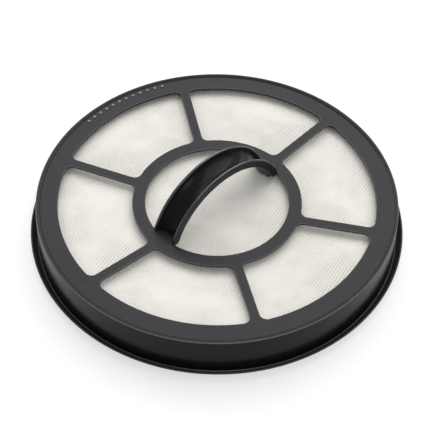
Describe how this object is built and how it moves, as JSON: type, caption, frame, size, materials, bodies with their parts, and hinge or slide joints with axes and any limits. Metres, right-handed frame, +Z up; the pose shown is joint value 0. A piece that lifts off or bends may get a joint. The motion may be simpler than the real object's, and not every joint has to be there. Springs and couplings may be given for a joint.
{
  "type": "round vacuum exhaust filter",
  "caption": "Round exhaust filter for a vacuum cleaner: moulded frame with spokes and an arched finger handle, woven cloth face, pleated paper pack and a flared rubber rim seal.",
  "frame": {"origin": "bottom centre of the bounding box, in the plane of the rear frame on which the filter lies", "axes": "+Z up out of the face, along the filter's axis; +X along the handle's arch; +Y across the handle"},
  "size_m": [0.15, 0.15, 0.036],
  "materials": {
    "frame_plastic": "satin charcoal moulding",
    "seal_rubber": "matte",
    "woven_cloth": "fine ribbed weave",
    "felt": "soft non-woven",
    "filter_paper": "matte pleated paper",
    "potting": "cast resin",
    "rear_plastic": "satin charcoal moulding",
    "glue": "hot-melt glue"
  },
  "bodies": {
    "root": {"front_frame": "frame_plastic", "rim_seal": "seal_rubber", "front_cloth": "woven_cloth", "felt_pad": "felt", "pleat_pack": "filter_paper", "potting_ring": "potting", "rear_frame": "rear_plastic", "front_bead_1": "glue", "front_bead_2": "glue", "front_bead_3": "glue", "front_bead_4": "glue", "rear_bead_1": "glue", "rear_bead_2": "glue", "rear_bead_3": "glue", "rear_bead_4": "glue"}
  },
  "joints": []
}
